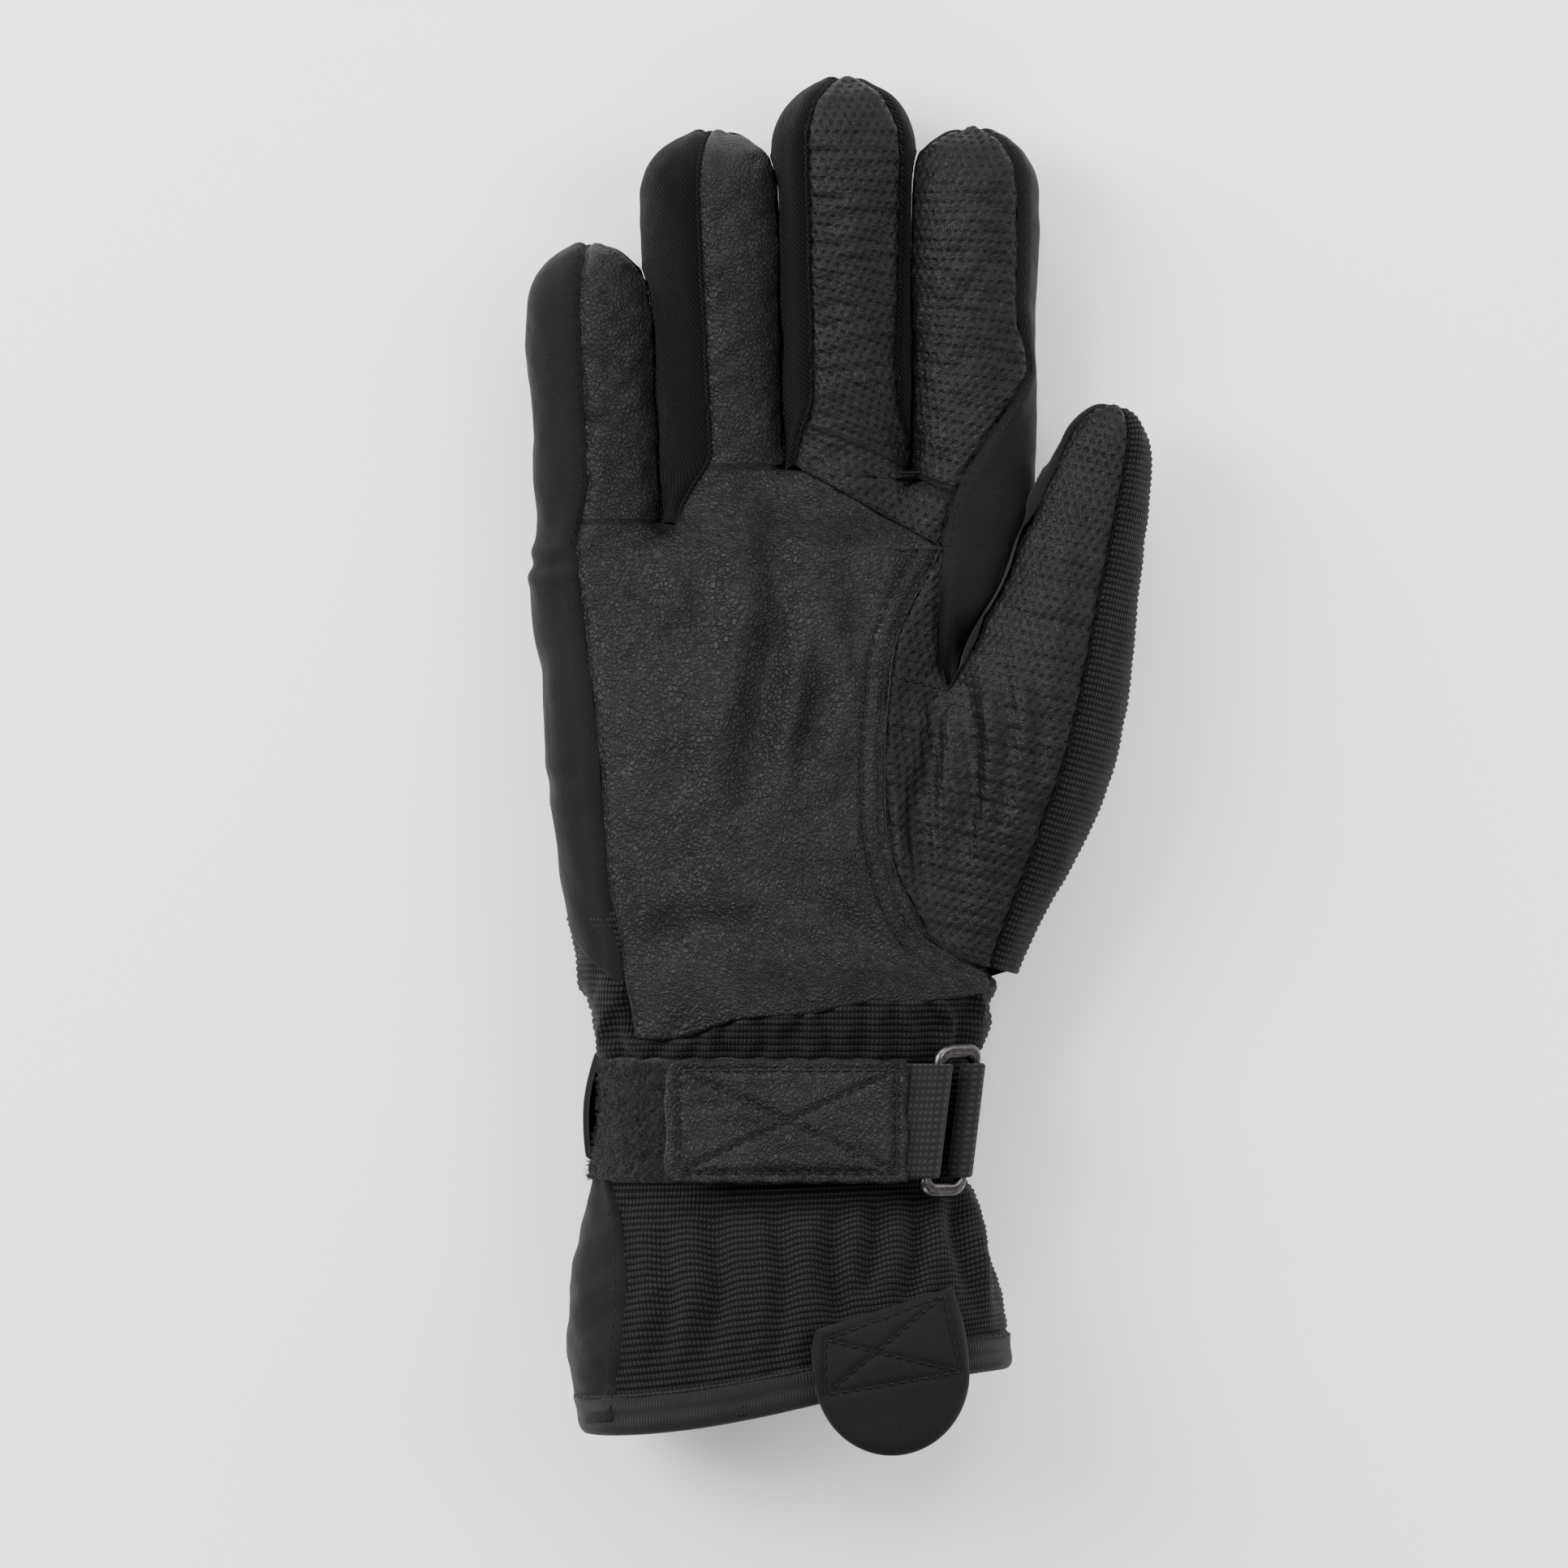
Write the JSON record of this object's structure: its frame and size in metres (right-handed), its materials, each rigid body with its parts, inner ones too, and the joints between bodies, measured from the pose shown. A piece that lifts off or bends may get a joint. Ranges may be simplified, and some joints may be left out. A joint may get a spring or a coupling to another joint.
{
  "type": "ski glove",
  "caption": "Insulated five-finger ski glove with leather palm and grip panels, softshell back, ribbed knit cuff, buckled wrist strap and hem pull tab",
  "frame": {"origin": "on the flat back of the hand, below the middle of the palm", "axes": "+Y along the fingers, +X towards the thumb, +Z out of the palm; the glove lies on its back"},
  "size_m": [0.1352, 0.2968, 0.0541],
  "materials": {
    "leather": "smooth full-grain leather with a fine pebble",
    "grip_leather": "leather embossed with a grid of small dimples",
    "softshell": "matt stretch softshell",
    "lining": "brushed fleece over insulation",
    "thread": "bonded nylon thread",
    "twill": "diagonal twill",
    "rib_knit": "ribbed stretch knit",
    "webbing": "woven elastic webbing",
    "binding": "woven edge tape",
    "hook_loop": "hook and loop tape",
    "neoprene": "smooth knit-faced neoprene",
    "buckle_metal": "black nickel, polished"
  },
  "bodies": {
    "hand": {"palm_leather": "leather", "grip_patch": "grip_leather", "side_panel": "softshell", "back_shell": "softshell", "hand_lining": "lining", "grip_stitching": "thread"},
    "little_lower": {"little_lower_face": "leather", "little_lower_sides": "softshell", "little_lower_back": "softshell", "little_lower_lining": "lining"},
    "little_upper": {"little_upper_face": "leather", "little_upper_sides": "softshell", "little_upper_back": "softshell", "little_upper_lining": "lining"},
    "ring_lower": {"ring_lower_face": "leather", "ring_lower_sides": "twill", "ring_lower_back": "softshell", "ring_lower_lining": "lining"},
    "ring_upper": {"ring_upper_face": "leather", "ring_upper_sides": "twill", "ring_upper_back": "softshell", "ring_upper_lining": "lining"},
    "middle_lower": {"middle_lower_face": "grip_leather", "middle_lower_sides": "twill", "middle_lower_back": "softshell", "middle_lower_lining": "lining"},
    "middle_upper": {"middle_upper_face": "grip_leather", "middle_upper_sides": "twill", "middle_upper_back": "softshell", "middle_upper_lining": "lining"},
    "index_lower": {"index_lower_face": "grip_leather", "index_lower_sides": "softshell", "index_lower_back": "softshell", "index_lower_lining": "lining"},
    "index_upper": {"index_upper_face": "grip_leather", "index_upper_sides": "softshell", "index_upper_back": "softshell", "index_upper_lining": "lining"},
    "thumb_lower": {"thumb_lower_face": "grip_leather", "thumb_lower_gusset": "softshell", "thumb_lower_back": "softshell", "thumb_lower_lining": "lining"},
    "thumb_upper": {"thumb_upper_face": "grip_leather", "thumb_upper_back": "softshell", "thumb_upper_lining": "lining"},
    "cuff": {"cuff_knit": "rib_knit", "cuff_side_panel": "softshell", "cuff_back": "softshell", "wrist_elastic": "webbing", "cuff_lining": "lining", "hem_binding": "binding", "loop_panel": "hook_loop", "strap_back": "webbing", "anchor_webbing": "webbing", "pull_tab_base": "neoprene"},
    "buckle": {"buckle": "buckle_metal"},
    "strap_flap": {"strap_webbing": "webbing", "strap_tab": "leather", "hook_patch": "hook_loop"},
    "pull_tab": {"pull_tab_end": "neoprene"}
  },
  "joints": [
    {"name": "little_knuckle", "type": "hinge", "parent": "hand", "child": "little_lower", "pos_m": [-0.0512, 0.054, 0.0139], "axis": [1, 0, 0], "range_deg": [0, 70]},
    {"name": "little_middle", "type": "hinge", "parent": "little_lower", "child": "little_upper", "pos_m": [-0.05225, 0.07798, 0.0139], "axis": [1, 0, 0], "range_deg": [0, 75]},
    {"name": "ring_knuckle", "type": "hinge", "parent": "hand", "child": "ring_lower", "pos_m": [-0.0244, 0.06, 0.0139], "axis": [1, 0, 0], "range_deg": [0, 70]},
    {"name": "ring_middle", "type": "hinge", "parent": "ring_lower", "child": "ring_upper", "pos_m": [-0.02566, 0.08897, 0.0139], "axis": [1, 0, 0], "range_deg": [0, 75]},
    {"name": "middle_knuckle", "type": "hinge", "parent": "hand", "child": "middle_lower", "pos_m": [0.0026, 0.063, 0.0139], "axis": [1, 0, 0], "range_deg": [0, 70]},
    {"name": "middle_middle", "type": "hinge", "parent": "middle_lower", "child": "middle_upper", "pos_m": [0.00231, 0.096, 0.0139], "axis": [1, 0, 0], "range_deg": [0, 75]},
    {"name": "index_knuckle", "type": "hinge", "parent": "hand", "child": "index_lower", "pos_m": [0.0298, 0.062, 0.0139], "axis": [1, 0, 0], "range_deg": [0, 55]},
    {"name": "index_middle", "type": "hinge", "parent": "index_lower", "child": "index_upper", "pos_m": [0.0298, 0.091, 0.0139], "axis": [1, 0, 0], "range_deg": [0, 60]},
    {"name": "thumb_swing", "type": "hinge", "parent": "hand", "child": "thumb_lower", "pos_m": [0.03518, -0.00493, 0.0215], "axis": [0.4546, -0.8907, 0], "range_deg": [0, 18]},
    {"name": "thumb_tip", "type": "hinge", "parent": "thumb_lower", "child": "thumb_upper", "pos_m": [0.0524, 0.04341, 0.0215], "axis": [0.965, -0.2622, 0], "range_deg": [0, 45]},
    {"name": "wrist_bend", "type": "hinge", "parent": "hand", "child": "cuff", "pos_m": [0, -0.061, 0.019], "axis": [-1, 0, 0], "range_deg": [-25, 25]},
    {"name": "buckle_swing", "type": "hinge", "parent": "cuff", "child": "buckle", "pos_m": [0.0288, -0.077, 0.0339], "axis": [0, 1, 0], "range_deg": [0, 15]},
    {"name": "strap_peel", "type": "hinge", "parent": "buckle", "child": "strap_flap", "pos_m": [0.0216, -0.077, 0.04], "axis": [0, 1, 0], "range_deg": [0, 140]},
    {"name": "pull_tab_fold", "type": "hinge", "parent": "cuff", "child": "pull_tab", "pos_m": [0.0121, -0.136, 0.0526], "axis": [1, 0, 0], "range_deg": [-60, 40]}
  ]
}
